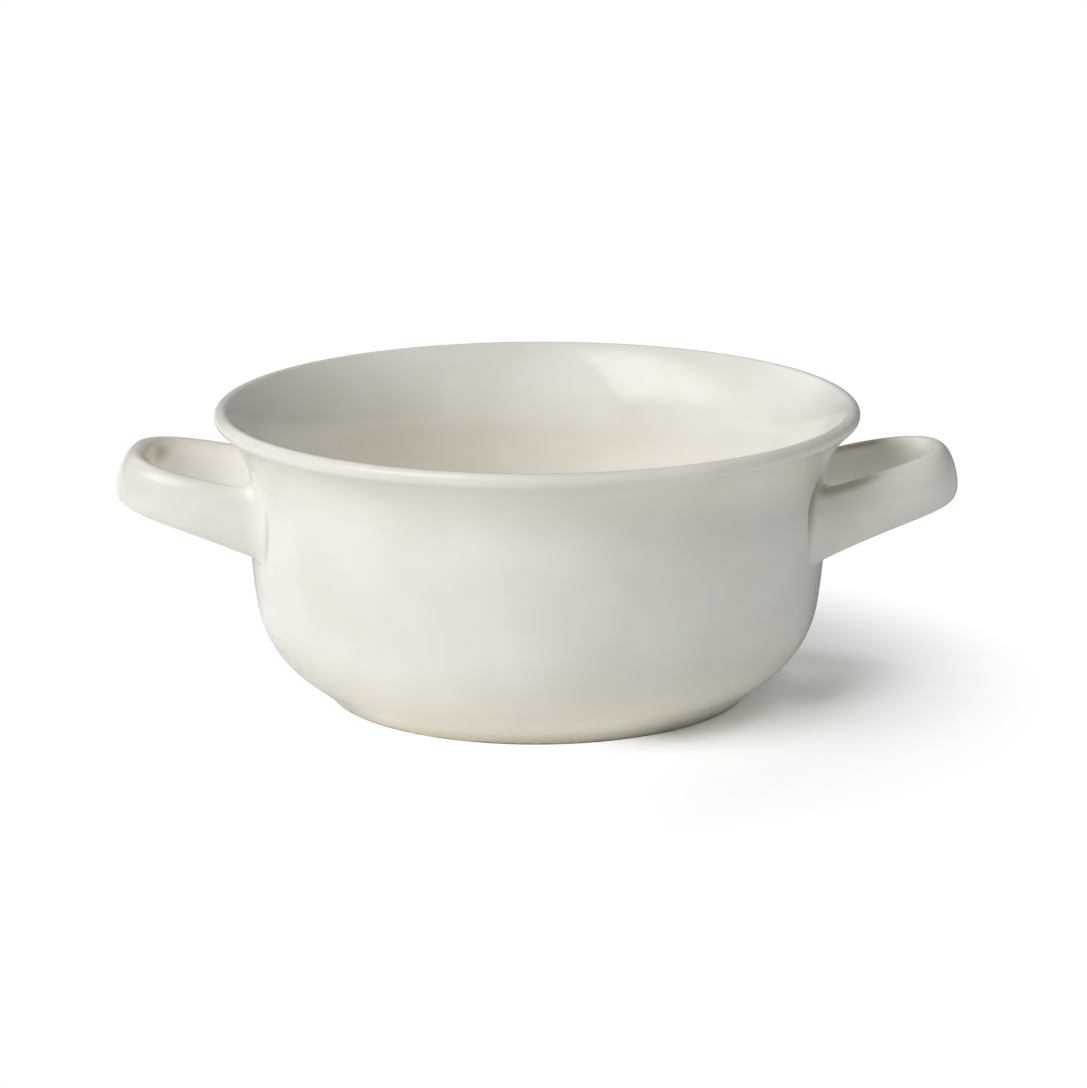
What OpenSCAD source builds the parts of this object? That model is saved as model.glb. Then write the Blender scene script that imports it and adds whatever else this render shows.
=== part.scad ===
// French onion soup crock: a round stoneware bowl with a flared mouth and two strap handles.
// Millimetres, Z up. The origin is the centre of the foot's resting face, and the handles
// lie along X. The handles are loops of flat clay strap, tilted up towards their outer ends,
// and each of their four roots is sealed to the wall by a fillet of slip.

/* [Bowl] */
// Radius of the bowl at its widest, on the belly
belly_r = 62.8; // [56:0.1:75]
// Height of the widest place above the table
belly_z = 38.6; // [34:0.1:41]
// Radius of the long upright curve of the belly in section
belly_arc = 120; // [90:1:200]
// Radius of the tight curve that turns the belly under to the foot
base_arc = 22.7; // [21:0.1:24]
// How far that tight curve would run on down below the top of the foot
base_dip = 2; // [1:0.1:4]
// Height where the belly runs into the flared neck
neck_z = 45; // [42:0.1:48]
// Thickness of the wall at the belly
wall = 4.2; // [3.5:0.1:5.5]
// Thickness of the floor
floor_t = 4; // [3:0.1:6]

/* [Rim] */
// Overall height, up to the top of the lip
rim_h = 63.5; // [61:0.1:67]
// How far the lip stands out beyond the belly
flare_w = 7.2; // [5.5:0.1:10]
// Radius of the rounded lip, half the thickness of the rim
lip_r = 1.7; // [1.4:0.1:2.1]

/* [Foot] */
// Height of the foot ring
foot_h = 3.2; // [2.6:0.1:4]
// How far the foot's outer edge at the table lies inside the belly
foot_in = 16.6; // [15.9:0.1:19]
// How much wider the foot ring is at its top than at the table
foot_flare = 1.3; // [0:0.1:1.8]
// Width of the foot ring at the table
foot_w = 6.5; // [4:0.1:9]
// Bevel along both lower edges of the foot ring
foot_bevel = 0.6; // [0.3:0.1:1]

/* [Handles] */
// How far each handle stands out beyond the belly
handle_out = 28.3; // [23:0.1:35]
// Thickness of the strap
strap_t = 6.2; // [5:0.1:7]
// Height of the strap where it meets the wall
root_h = 15; // [12:0.1:16]
// Squareness of the strap's section, where 2 is an ellipse
strap_squareness = 2.3; // [2:0.1:4]
// Width of the slip fillet round each root
luting_w = 3; // [1.5:0.1:3.5]

/* [Left handle] */
// Half the distance between the middles of the two roots
left_half_w = 20; // [16:0.1:22]
// Squareness of the loop seen from above, where 2 is half an ellipse
left_squareness = 2.95; // [2:0.05:3.5]
// Height of the strap at the outer end
left_tip_h = 11; // [9:0.1:14]
// Drop from the lip to the middle of the strap at the outer end
left_tip_drop = 14.8; // [12:0.1:18]
// Angle at which the loop rises outwards
left_tilt = 12.3; // [8:0.1:16]
// Angle by which the strap leans in towards the bowl, beyond the tilt
left_lean = 6; // [0:0.1:9]
// Extra drop of the roots, which bends the loop downwards
left_sag = 1.3; // [0:0.1:4]

/* [Right handle] */
// Half the distance between the middles of the two roots
right_half_w = 17.5; // [15:0.1:22]
// Squareness of the loop seen from above, where 2 is half an ellipse
right_squareness = 2.35; // [2:0.05:3.5]
// Height of the strap at the outer end
right_tip_h = 12.3; // [9:0.1:14]
// Drop from the lip to the middle of the strap at the outer end
right_tip_drop = 15.2; // [12:0.1:18]
// Angle at which the loop rises outwards
right_tilt = 10.1; // [8:0.1:16]
// Angle by which the strap leans in towards the bowl, beyond the tilt
right_lean = 3.9; // [0:0.1:9]
// Extra drop of the roots, which bends the loop downwards
right_sag = 3.5; // [0:0.1:4]

/* [Hidden] */
$fn = 128;

// Steps along each curve of the bowl's section
curve_steps = 12;
lip_steps = 20;

// Points round the strap's section, rings between two roots, and steps across a fillet
section_steps = 24;
loop_rings = 44;
fillet_steps = 4;

// Angle that feels out the direction of a loop, in degrees
probe = 0.5;

// Outer radius of the mouth, of the foot at the table, and of the handles at their tips
rim_r = belly_r + flare_w;
foot_r = belly_r - foot_in;
tip_r = belly_r + handle_out - strap_t / 2;

// Centres of the four arcs of the outer section, as [radius, height]
belly_c = [belly_r - belly_arc, belly_z];
base_z = foot_h - base_dip + base_arc;
join_angle = asin((base_z - belly_z) / (belly_arc - base_arc));
join_z = belly_z + belly_arc * sin(join_angle);
neck_angle = asin((neck_z - belly_z) / belly_arc);
base_c = belly_c + (belly_arc - base_arc) * [cos(join_angle), sin(join_angle)];
lip_c = [rim_r - lip_r, rim_h - lip_r];

// The neck's arc touches the belly's arc and the lip's circle, and so has one radius
neck_start = belly_c + belly_arc * [cos(neck_angle), sin(neck_angle)];
neck_out = [cos(neck_angle), sin(neck_angle)];
lip_to_neck = neck_start - lip_c;
neck_arc = (lip_to_neck * lip_to_neck - lip_r * lip_r) / (2 * (lip_r - lip_to_neck * neck_out));
neck_c = neck_start + neck_arc * neck_out;
flare_angle = atan2(lip_c[1] - neck_c[1], lip_c[0] - neck_c[0]);

// Inside height of the floor, and the wall's thickness where it turns into the floor
floor_z = foot_h + floor_t;
base_t = floor_t + base_dip;
foot_angle = asin(base_dip / base_arc - 1);

// Each loop as [half width, squareness, tip height, tip drop, tilt, lean, sag]
left_loop = [left_half_w, left_squareness, left_tip_h, left_tip_drop,
             left_tilt, left_lean, left_sag];
right_loop = [right_half_w, right_squareness, right_tip_h, right_tip_drop,
              right_tilt, right_lean, right_sag];

function unit(v) = v / norm(v);
function ease(s) = s * s * (3 - 2 * s);
function signed_pow(x, p) = sign(x) * pow(abs(x), p);

// Points on an arc whose distance inside the outer surface eases from t0 to t1
function skin(c, r, t0, t1, a0, a1, steps, side) =
    [for (i = [0:steps])
        let (a = a0 + (a1 - a0) * i / steps, t = t0 + (t1 - t0) * ease(i / steps))
        c + (r + side * t) * [cos(a), sin(a)]];

// Outer radius of the wall at height z, from the foot to the lip
function wall_r(z) =
    z < join_z ? base_c[0] + sqrt(max(0, base_arc * base_arc - pow(z - base_c[1], 2)))
    : z < neck_z ? belly_c[0] + sqrt(belly_arc * belly_arc - pow(z - belly_c[1], 2))
    : neck_c[0] - sqrt(max(0, neck_arc * neck_arc - pow(z - neck_c[1], 2)));

// The same point moved straight out from the axis until it lies on the wall
function on_wall(p) =
    let (r = norm([p[0], p[1]]), w = wall_r(p[2]))
    [p[0] * w / r, p[1] * w / r, p[2]];

// Direction straight out of the wall at a point on it
function wall_normal(p) =
    let (r = norm([p[0], p[1]]), d = lip_r / 10,
         slope = (wall_r(p[2] + d) - wall_r(p[2] - d)) / (2 * d))
    unit([p[0] / r, p[1] / r, -slope]);

// Radius at which a loop's centre line starts, safely inside the wall
function root_r(loop) = sqrt(belly_r * belly_r - pow(loop[0] + strap_t, 2));

// Share of the way from the tip of the loop, 0, to its roots, 1
function inward(loop, r) = (tip_r - r) / (tip_r - root_r(loop));

// Centre line of a loop: angle 0 is its tip, and plus or minus 90 its roots
function loop_point(loop, t) =
    let (x = root_r(loop) + (tip_r - root_r(loop)) * signed_pow(cos(t), 2 / loop[1]),
         y = loop[0] * signed_pow(sin(t), 2 / loop[1]),
         k = inward(loop, x))
    [x, y, rim_h - loop[3] - tan(loop[4]) * (tip_r - x) - loop[6] * k * k];

// Point of the strap at loop angle t and section angle a; scale 0 is the centre line
function strap_point(loop, t, a, scale = 1) =
    let (middle = loop_point(loop, t),
         along = unit(loop_point(loop, t + probe) - loop_point(loop, t - probe)),
         lean = loop[4] + loop[5],
         across = unit(cross([-sin(lean), 0, cos(lean)], along)),
         upward = cross(along, across),
         k = inward(loop, middle[0]),
         h = loop[2] + (root_h - loop[2]) * k * k)
    middle + scale * (across * strap_t / 2 * signed_pow(cos(a), 2 / strap_squareness)
                      + upward * h / 2 * signed_pow(sin(a), 2 / strap_squareness));

// Loop angle at which one line of the strap stands clear of the wall by a distance,
// found by halving the stretch between a root, inside the wall, and the tip, outside it
function seat_angle(loop, a, clear, inner, outer = 0, scale = 1, halvings = 26) =
    let (mid = (inner + outer) / 2, p = strap_point(loop, mid, a, scale))
    halvings == 0 ? mid
    : norm([p[0], p[1]]) < wall_r(p[2]) + clear
        ? seat_angle(loop, a, clear, mid, outer, scale, halvings - 1)
        : seat_angle(loop, a, clear, inner, mid, scale, halvings - 1);

// Loop angles of the rings that one line of the strap passes, from the back root to the front
function line_angles(loop, a) =
    let (back = seat_angle(loop, a, 0, 90), front = seat_angle(loop, a, 0, -90),
         back_free = seat_angle(loop, a, luting_w, 90),
         front_free = seat_angle(loop, a, luting_w, -90))
    [back,
     for (i = [0:loop_rings]) back_free + (front_free - back_free) * i / loop_rings,
     front];

function section_angle(j) = 360 * j / section_steps;

// Triangles of a tube of rings with n points each; a closed tube joins its last ring to the first
function tube_faces(rings, n, closed = false) =
    [for (i = [0:rings - (closed ? 1 : 2)]) for (j = [0:n - 1])
        let (a = i * n + j, b = i * n + (j + 1) % n,
             k = (i + 1) % rings, c = k * n + (j + 1) % n, d = k * n + j)
        for (face = [[a, b, c], [a, c, d]]) face];

// The bowl, turned in one piece: outside upwards, round the lip, then down the inside
module crock_body() {
    outside = concat(
        skin(base_c, base_arc, 0, 0, foot_angle, join_angle, curve_steps, -1),
        skin(belly_c, belly_arc, 0, 0, join_angle, neck_angle, curve_steps, -1),
        skin(neck_c, neck_arc, 0, 0, neck_angle + 180, flare_angle, curve_steps, 1));
    lip = skin(lip_c, lip_r, 0, 0, flare_angle - 180, flare_angle, lip_steps, 1);
    inside = concat(
        skin(neck_c, neck_arc, 2 * lip_r, wall, flare_angle, neck_angle + 180, curve_steps, 1),
        skin(belly_c, belly_arc, wall, wall, neck_angle, join_angle, curve_steps, -1),
        skin(base_c, base_arc, wall, base_t, join_angle, -90, curve_steps, -1));
    color("#e6e2d8")
        rotate_extrude()
            polygon(concat([[0, foot_h]], outside, lip, inside, [[0, floor_z]]));
}

// The ring that the crock stands on, bare of glaze on its resting face
module foot_ring() {
    inner_r = foot_r - foot_w;
    color("#c9b79c")
        rotate_extrude()
            polygon([[inner_r - foot_flare / 2, foot_h],
                     [inner_r, foot_bevel],
                     [inner_r + foot_bevel, 0],
                     [foot_r - foot_bevel, 0],
                     [foot_r, foot_bevel],
                     [foot_r + foot_flare, foot_h]]);
}

// A loop of strap on the +X side, its ends cut to the curve of the wall
module strap_handle(loop) {
    lines = [for (j = [0:section_steps - 1]) line_angles(loop, section_angle(j))];
    rings = loop_rings + 3;
    skin_points = [for (i = [0:rings - 1]) for (j = [0:section_steps - 1])
        strap_point(loop, lines[j][i], section_angle(j))];
    ends = [for (side = [90, -90])
        strap_point(loop, seat_angle(loop, 0, 0, side, scale = 0), 0, 0)];
    last = (rings - 1) * section_steps;
    back_cap = [for (j = [0:section_steps - 1])
        [rings * section_steps, (j + 1) % section_steps, j]];
    front_cap = [for (j = [0:section_steps - 1])
        [rings * section_steps + 1, last + j, last + (j + 1) % section_steps]];
    color("#e6e2d8")
        polyhedron(concat(skin_points, ends),
                   concat(tube_faces(rings, section_steps), back_cap, front_cap));
}

// The slip fillet round one root: hollow-curved, tangent to the wall and to the strap
module luting(loop, side) {
    turns = [for (j = [0:section_steps - 1]) section_angle(j)];
    corner = [for (a = turns)
        strap_point(loop, seat_angle(loop, a, 0, side), a)];
    high = [for (a = turns)
        strap_point(loop, seat_angle(loop, a, luting_w, side), a)];
    low = [for (j = [0:section_steps - 1])
        let (ahead = corner[(j + 1) % section_steps],
             behind = corner[(j + section_steps - 1) % section_steps],
             away = sign(side) * cross(wall_normal(corner[j]), ahead - behind))
        on_wall(corner[j] + luting_w * unit(away))];
    ring_points = [for (j = [0:section_steps - 1])
        for (p = [corner[j],
                  for (i = [0:fillet_steps])
                      let (s = i / fillet_steps)
                      (1 - s) * (1 - s) * low[j] + 2 * s * (1 - s) * corner[j] + s * s * high[j]])
            p];
    faces = tube_faces(section_steps, fillet_steps + 2, true);
    color("#dcd7ca")
        polyhedron(ring_points, side < 0 ? faces : [for (f = faces) [f[2], f[1], f[0]]]);
}

module left_handle() {
    mirror([1, 0, 0])
        strap_handle(left_loop);
}

module right_handle() {
    strap_handle(right_loop);
}

module left_front_luting() {
    mirror([1, 0, 0])
        luting(left_loop, -90);
}

module left_back_luting() {
    mirror([1, 0, 0])
        luting(left_loop, 90);
}

module right_front_luting() {
    luting(right_loop, -90);
}

module right_back_luting() {
    luting(right_loop, 90);
}

crock_body();
foot_ring();
left_handle();
right_handle();
left_front_luting();
left_back_luting();
right_front_luting();
right_back_luting();
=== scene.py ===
# %% [markdown]
# # A french onion soup crock
#
# The real crock is stoneware. A potter turns the bowl on a wheel, trims a low foot under it,
# bends two straps of clay into loops, and presses their ends on to the wall with a little slip.
# A cream-white glaze covers everything but the line on which the crock stands.
#
# This lesson builds it in the same order: bowl and foot on a wheel made of geometry nodes,
# the two straps and their joints in mesh code, then glaze, bare clay, table and light.
# The frame from the CAD model is loaded first, because every piece takes its place from it.

# %% Load the frame
import math

import bpy
import numpy as np
from mathutils import Matrix, Vector


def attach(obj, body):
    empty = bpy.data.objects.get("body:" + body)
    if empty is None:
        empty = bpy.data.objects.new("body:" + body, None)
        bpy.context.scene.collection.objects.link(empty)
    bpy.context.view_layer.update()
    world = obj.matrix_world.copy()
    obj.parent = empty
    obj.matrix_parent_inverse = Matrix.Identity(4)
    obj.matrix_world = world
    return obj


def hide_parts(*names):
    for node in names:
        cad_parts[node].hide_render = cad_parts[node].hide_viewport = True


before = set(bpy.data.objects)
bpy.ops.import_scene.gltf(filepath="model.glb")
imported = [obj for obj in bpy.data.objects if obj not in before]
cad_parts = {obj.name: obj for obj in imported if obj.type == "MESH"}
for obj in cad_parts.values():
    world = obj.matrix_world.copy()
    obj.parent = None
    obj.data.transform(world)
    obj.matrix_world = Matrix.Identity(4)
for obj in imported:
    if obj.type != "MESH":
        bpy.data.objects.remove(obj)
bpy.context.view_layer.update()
print("CAD nodes:", sorted(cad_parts))

# %% [markdown]
# ## The camera
#
# The photograph was taken with a long lens from just under a metre away, 14 degrees above the
# table. A long lens keeps the two handles the same size and the mouth a flat, even ellipse.
# The camera is made first, so that each piece can be judged from the right place as it is made.
# A camera looks down its own -Z axis, so its third axis points from the crock back to the lens.

# %% Place the camera
MM = 0.001
IMAGE_HEIGHT_PX = 1088
SENSOR_MM = 36.0
FOCAL_PX = 4096.3
CAMERA_DISTANCE = 895.1 * MM
CAMERA_PITCH = math.radians(14.0)
CAMERA_ROLL = -0.003
AIM = Vector((1.29, 0.0, 31.97)) * MM
NEAREST_SEEN, FARTHEST_SEEN = 0.01, 100.0


def make_camera():
    back = Vector((0.0, -math.cos(CAMERA_PITCH), math.sin(CAMERA_PITCH)))
    level_right = Vector((1.0, 0.0, 0.0))
    level_up = back.cross(level_right)
    right = math.cos(CAMERA_ROLL) * level_right + math.sin(CAMERA_ROLL) * level_up
    up = back.cross(right)
    camera = bpy.data.objects.new("photo_camera", bpy.data.cameras.new("photo_camera"))
    camera.data.sensor_width = SENSOR_MM
    camera.data.lens = FOCAL_PX * SENSOR_MM / IMAGE_HEIGHT_PX
    camera.data.clip_start = NEAREST_SEEN
    camera.data.clip_end = FARTHEST_SEEN
    place = Matrix((right, up, back)).transposed().to_4x4()
    place.translation = AIM + CAMERA_DISTANCE * back
    camera.matrix_world = place
    bpy.context.scene.collection.objects.link(camera)
    bpy.context.scene.camera = camera
    return camera


camera = make_camera()
print("camera at", [round(v, 4) for v in camera.location], "lens", round(camera.data.lens, 2), "mm")

# %% [markdown]
# ## The section of the bowl
#
# A potter shapes the wall with a rib, a curved template held against the spinning clay, so the
# section is a few smooth curves that run into each other: a tight curve turns the belly under,
# a long one stands it up, and a hollow one flares it out to a round lip. Arcs that share a
# tangent say this exactly. Each is given by a centre, a radius and two angles, all in
# millimetres and radians, and the joints between them are worked out, not typed.

# %% The arcs of the outside
BELLY_R, BELLY_Z, BELLY_ARC = 62.8, 38.6, 120.0
BASE_ARC, BASE_DIP = 22.7, 2.0
NECK_Z, WALL, FLOOR_T = 45.0, 4.2, 4.0
RIM_H, RIM_R, LIP_R = 63.5, 70.0, 1.7
FOOT_H, FOOT_R, FOOT_FLARE, FOOT_W, FOOT_BEVEL = 3.2, 46.2, 1.3, 6.5, 0.6


def polar(centre, radius, angle):
    return np.array(centre) + radius * np.array([math.cos(angle), math.sin(angle)])


belly_c = np.array([BELLY_R - BELLY_ARC, BELLY_Z])
join_angle = math.asin((FOOT_H - BASE_DIP + BASE_ARC - BELLY_Z) / (BELLY_ARC - BASE_ARC))
neck_angle = math.asin((NECK_Z - BELLY_Z) / BELLY_ARC)
base_c = polar(belly_c, BELLY_ARC - BASE_ARC, join_angle)
join_z = polar(belly_c, BELLY_ARC, join_angle)[1]
foot_angle = math.asin(BASE_DIP / BASE_ARC - 1)

# The neck's arc touches the belly's arc and the circle of the lip, which fixes its radius
lip_c = np.array([RIM_R - LIP_R, RIM_H - LIP_R])
neck_start = polar(belly_c, BELLY_ARC, neck_angle)
neck_out = np.array([math.cos(neck_angle), math.sin(neck_angle)])
lip_to_neck = neck_start - lip_c
NECK_ARC = (lip_to_neck @ lip_to_neck - LIP_R ** 2) / (2 * (LIP_R - lip_to_neck @ neck_out))
neck_c = neck_start + NECK_ARC * neck_out
flare_angle = math.atan2(*(lip_c - neck_c)[::-1])
print("neck arc", round(NECK_ARC, 2), "mm, flare", round(math.degrees(flare_angle), 1), "degrees")


# %% Points along the section
TINY_MM = 1e-6


def skin(centre, radius, depth, angles, steps, hollow=False):
    """Points of an arc that lies inside the outer surface by a depth eased from one to another."""
    share = np.linspace(0, 1, steps + 1)
    angle = angles[0] + (angles[1] - angles[0]) * share
    inset = depth[0] + (depth[1] - depth[0]) * share ** 2 * (3 - 2 * share)
    reach = radius + (inset if hollow else -inset)
    return np.column_stack([centre[0] + reach * np.cos(angle), centre[1] + reach * np.sin(angle)])


def joined(*runs):
    """Runs of points laid end to end, without a doubled point where two meet."""
    points = [runs[0]]
    for run in runs[1:]:
        points.append(run[1:] if np.allclose(points[-1][-1], run[0], atol=TINY_MM) else run)
    return np.vstack(points)


def level_run(radii, height):
    return np.array([[r, height] for r in radii])


lip_run = skin(lip_c, LIP_R, (0, 0), (flare_angle - math.pi, flare_angle), steps=28, hollow=True)
print("the lip's top lies at", round(lip_run[:, 1].max(), 2), "mm")

# %% [markdown]
# Above the foot the glaze runs into the corner under the belly and fills it with a small hollow
# curve. Its lower end lies on the foot's side, half a millimetre above the table, and its upper
# end 13 degrees up the curve of the base. A curve with one control point joins them. The point
# lies where the tangents of the two ends cross, so that the fillet runs on from both without a
# line. The flat underside and floor get a few rings of points, so that no face is very long.

# %% The glaze fillet above the foot and the whole section
FILLET_Z, FILLET_TURN = 0.5, math.radians(13)
UNDERSIDE_RINGS, FLOOR_RINGS = (0.0, 20.0, 40.0), (24.0, 10.0, 0.0)


def crossing(first, along, second, beside):
    """The point where the line through first along one way meets the line through second."""
    share = np.linalg.solve(np.column_stack([along, -beside]), second - first)
    return first + share[0] * along


def hollow_fillet(low, corner, high, steps=16):
    """A curve with one control point, tangent to the corner's two sides."""
    t = np.linspace(0, 1, steps + 1)[:, None]
    return (1 - t) ** 2 * low + 2 * t * (1 - t) * corner + t ** 2 * high


foot_top = np.array([FOOT_R + FOOT_FLARE, FOOT_H])
foot_side = np.array([FOOT_FLARE, FOOT_H - FOOT_BEVEL])
fillet_low = foot_top + (FILLET_Z - FOOT_H) / (FOOT_H - FOOT_BEVEL) * foot_side
fillet_turn = foot_angle + FILLET_TURN
fillet_high = polar(base_c, BASE_ARC, fillet_turn)
fillet_way = np.array([-math.sin(fillet_turn), math.cos(fillet_turn)])
fillet_corner = crossing(fillet_high, fillet_way, foot_top, foot_side)
bowl_section = joined(
    level_run(UNDERSIDE_RINGS, FOOT_H), foot_top[None],
    hollow_fillet(fillet_low, fillet_corner, fillet_high),
    skin(base_c, BASE_ARC, (0, 0), (fillet_turn, join_angle), steps=26),
    skin(belly_c, BELLY_ARC, (0, 0), (join_angle, neck_angle), steps=24),
    skin(neck_c, NECK_ARC, (0, 0), (neck_angle + math.pi, flare_angle), steps=24, hollow=True),
    lip_run,
    skin(neck_c, NECK_ARC, (2 * LIP_R, WALL), (flare_angle, neck_angle + math.pi), steps=24,
         hollow=True),
    skin(belly_c, BELLY_ARC, (WALL, WALL), (neck_angle, join_angle), steps=20),
    skin(base_c, BASE_ARC, (WALL, FLOOR_T + BASE_DIP), (join_angle, -math.pi / 2), steps=24),
    level_run(FLOOR_RINGS, FOOT_H + FLOOR_T))
print("bowl section:", len(bowl_section), "points, widest", round(bowl_section[:, 0].max(), 2), "mm")

# %% [markdown]
# The foot is trimmed on the wheel once the bowl is leather hard. It is a plain low ring, a
# little wider at the top, and its two standing edges are wiped round with a sponge, so that they
# don't chip. A quarter circle at each edge stands for the sponge.

# %% The section of the foot
foot_in_r = FOOT_R - FOOT_W


def sponged(corner, turn, steps=8):
    """A quarter circle of the bevel's radius that rounds off a standing edge."""
    centre = (corner, FOOT_BEVEL)
    angles = np.linspace(*turn, steps + 1)
    return np.array([polar(centre, FOOT_BEVEL, a) for a in angles])


foot_section = joined(
    np.array([[foot_in_r - FOOT_FLARE / 2, FOOT_H], [foot_in_r - FOOT_FLARE / 4, FOOT_H / 2]]),
    sponged(foot_in_r + FOOT_BEVEL, (math.pi, 1.5 * math.pi)),
    sponged(FOOT_R - FOOT_BEVEL, (1.5 * math.pi, 2 * math.pi)),
    np.array([[FOOT_R + share * FOOT_FLARE, FOOT_BEVEL + share * (FOOT_H - FOOT_BEVEL)]
              for share in (0.25, 0.5, 0.75, 1.0)]),
    np.array([[foot_in_r - FOOT_FLARE / 2, FOOT_H]]))
print("foot section:", len(foot_section), "points")

# %% [markdown]
# ## The potter's wheel
#
# Turning is one rule: every point of the section goes round the axis in a circle. Geometry
# nodes say that rule once, for bowl and foot alike. A grid has one row for each point of the
# section and one column for each turn of the wheel. Each grid point looks up its point of the
# section and is turned by its share of a full circle. Merging by distance then closes the seam,
# where the last column meets the first, and the poles, where a row lies on the axis.
#
# One small function adds a node. Each of its inputs takes a value, a socket or another node.


# %% Build the wheel as a node tree
def add_node(tree, kind, settings=None):
    """Adds a node. Each setting is a property, or an input by name or number, which takes a
    value, a socket, or a node, whose first output in use feeds it."""
    node = tree.nodes.new(kind)
    for name, value in (settings or {}).items():
        if isinstance(value, bpy.types.Node):
            value = next(output for output in value.outputs if output.enabled)
        if not isinstance(name, int) and name not in node.inputs:
            setattr(node, name, value)
        elif isinstance(value, bpy.types.NodeSocket):
            tree.links.new(value, node.inputs[name])
        else:
            node.inputs[name].default_value = value
    return node


def build_wheel():
    tree = bpy.data.node_groups.new("potters_wheel", "GeometryNodeTree")
    tree.is_modifier = True
    for name, kind in (("Section", "NodeSocketGeometry"), ("Columns", "NodeSocketInt"),
                       ("Merge Distance", "NodeSocketFloat"), ("Clay", "NodeSocketMaterial")):
        tree.interface.new_socket(name, in_out="INPUT", socket_type=kind)
    tree.interface.new_socket("Turned", in_out="OUTPUT", socket_type="NodeSocketGeometry")
    given = add_node(tree, "NodeGroupInput").outputs

    size = add_node(tree, "GeometryNodeAttributeDomainSize",
                    {"component": "MESH", "Geometry": given["Section"]})
    across = add_node(tree, "ShaderNodeMath", {"operation": "ADD", 0: given["Columns"], 1: 1})
    grid = add_node(tree, "GeometryNodeMeshGrid", {"Vertices X": size, "Vertices Y": across})
    index = add_node(tree, "GeometryNodeInputIndex")
    rows = add_node(tree, "ShaderNodeMath", {"operation": "DIVIDE", 0: index, 1: across})
    row = add_node(tree, "ShaderNodeMath", {"operation": "FLOOR", 0: rows})
    before = add_node(tree, "ShaderNodeMath", {"operation": "MULTIPLY", 0: row, 1: across})
    column = add_node(tree, "ShaderNodeMath", {"operation": "SUBTRACT", 0: index, 1: before})
    share = add_node(tree, "ShaderNodeMath", {"operation": "DIVIDE", 0: column, 1: given["Columns"]})
    angle = add_node(tree, "ShaderNodeMath", {"operation": "MULTIPLY", 0: share, 1: 2 * math.pi})

    looked_up = add_node(tree, "GeometryNodeSampleIndex",
                         {"data_type": "FLOAT_VECTOR", "domain": "POINT",
                          "Geometry": given["Section"], "Index": row,
                          "Value": add_node(tree, "GeometryNodeInputPosition")})
    turned = add_node(tree, "ShaderNodeVectorRotate",
                      {"rotation_type": "Z_AXIS", "Vector": looked_up, "Angle": angle})
    moved = add_node(tree, "GeometryNodeSetPosition", {"Geometry": grid, "Position": turned})
    merged = add_node(tree, "GeometryNodeMergeByDistance",
                      {"Geometry": moved, "Distance": given["Merge Distance"]})
    smooth = add_node(tree, "GeometryNodeSetShadeSmooth", {"Geometry": merged})
    real = add_node(tree, "GeometryNodeRealizeInstances", {"Geometry": smooth})
    covered = add_node(tree, "GeometryNodeSetMaterial", {"Geometry": real, "Material": given["Clay"]})
    add_node(tree, "NodeGroupOutput", {"Turned": covered})
    return tree


wheel = build_wheel()
print("wheel inputs:", [item.name for item in wheel.interface.items_tree if item.in_out == "INPUT"])

# %% [markdown]
# The wheel's inputs are set by each socket's identifier, before the piece is first evaluated.
# The turned shape is then kept as a plain mesh, and the modifier goes. Its volume tells whether
# the faces look outward: a mesh that is inside out measures less than nothing.

# %% Turn both sections on the wheel
TURNS, SAME_PLACE = 256, 0.001 * MM


def new_mesh(name, points_mm, edges=(), faces=()):
    mesh = bpy.data.meshes.new(name)
    mesh.from_pydata((np.asarray(points_mm) * MM).tolist(), edges, faces)
    return mesh


def volume_ml(mesh):
    """Volume by the divergence theorem: positive only if every face looks outward."""
    mesh.calc_loop_triangles()
    points = np.array([v.co for v in mesh.vertices])
    corners = points[np.array([t.vertices[:] for t in mesh.loop_triangles])]
    parts = np.einsum("ij,ij->i", corners[:, 0], np.cross(corners[:, 1], corners[:, 2]))
    return parts.sum() / 6 * 1e6


def turn_on_wheel(name, section):
    """A closed section, from axis to axis or back to its start, turned into a plain mesh."""
    points = np.column_stack([section[:, 0], np.zeros(len(section)), section[:, 1]])
    mesh = new_mesh(name, points, [(i, i + 1) for i in range(len(points) - 1)])
    piece = bpy.data.objects.new(name, mesh)
    bpy.context.scene.collection.objects.link(piece)
    turning = piece.modifiers.new("turning", "NODES")
    turning.node_group = wheel
    socket = {item.name: item.identifier for item in wheel.interface.items_tree}
    turning[socket["Columns"]] = TURNS
    turning[socket["Merge Distance"]] = SAME_PLACE
    depsgraph = bpy.context.evaluated_depsgraph_get()
    piece.data = bpy.data.meshes.new_from_object(piece.evaluated_get(depsgraph))
    piece.modifiers.remove(turning)
    piece.data.name = name
    if volume_ml(piece.data) < 0:
        piece.data.flip_normals()
    print(name, len(piece.data.polygons), "faces,", round(volume_ml(piece.data), 2), "ml")
    return piece


bowl = turn_on_wheel("bowl", bowl_section)
foot = turn_on_wheel("foot", foot_section)

# %% [markdown]
# ## The handles
#
# Each handle is a strap of clay, bent into a loop while soft, lifted a little at its outer end
# and pressed on to the wall at both ends. Seen from above, the loop lies between half an ellipse
# and half a rectangle, which is what a superellipse describes with one number, its squareness.
# The strap's section is a superellipse as well, a little flatter than an oval. No two pulled
# handles are alike: the left loop is squarer and wider, and the right one rounder and taller.
#
# A thumb has left a shallow dent in each, and a few places on them are drawn darker: partly
# pooled glaze, partly painted shade in the left loop's inner bend and along the right strap's top
# edges. Dent and dark place are both a smooth spot on the strap: a height, then where it lies along
# the loop and round the section, and how far it reaches both ways.

# %% The middle line of a loop
HANDLE_REACH, STRAP_T, ROOT_H, STRAP_SQUARENESS = 91.1, 6.2, 15.0, 2.3
TIP_R = HANDLE_REACH - STRAP_T / 2
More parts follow.
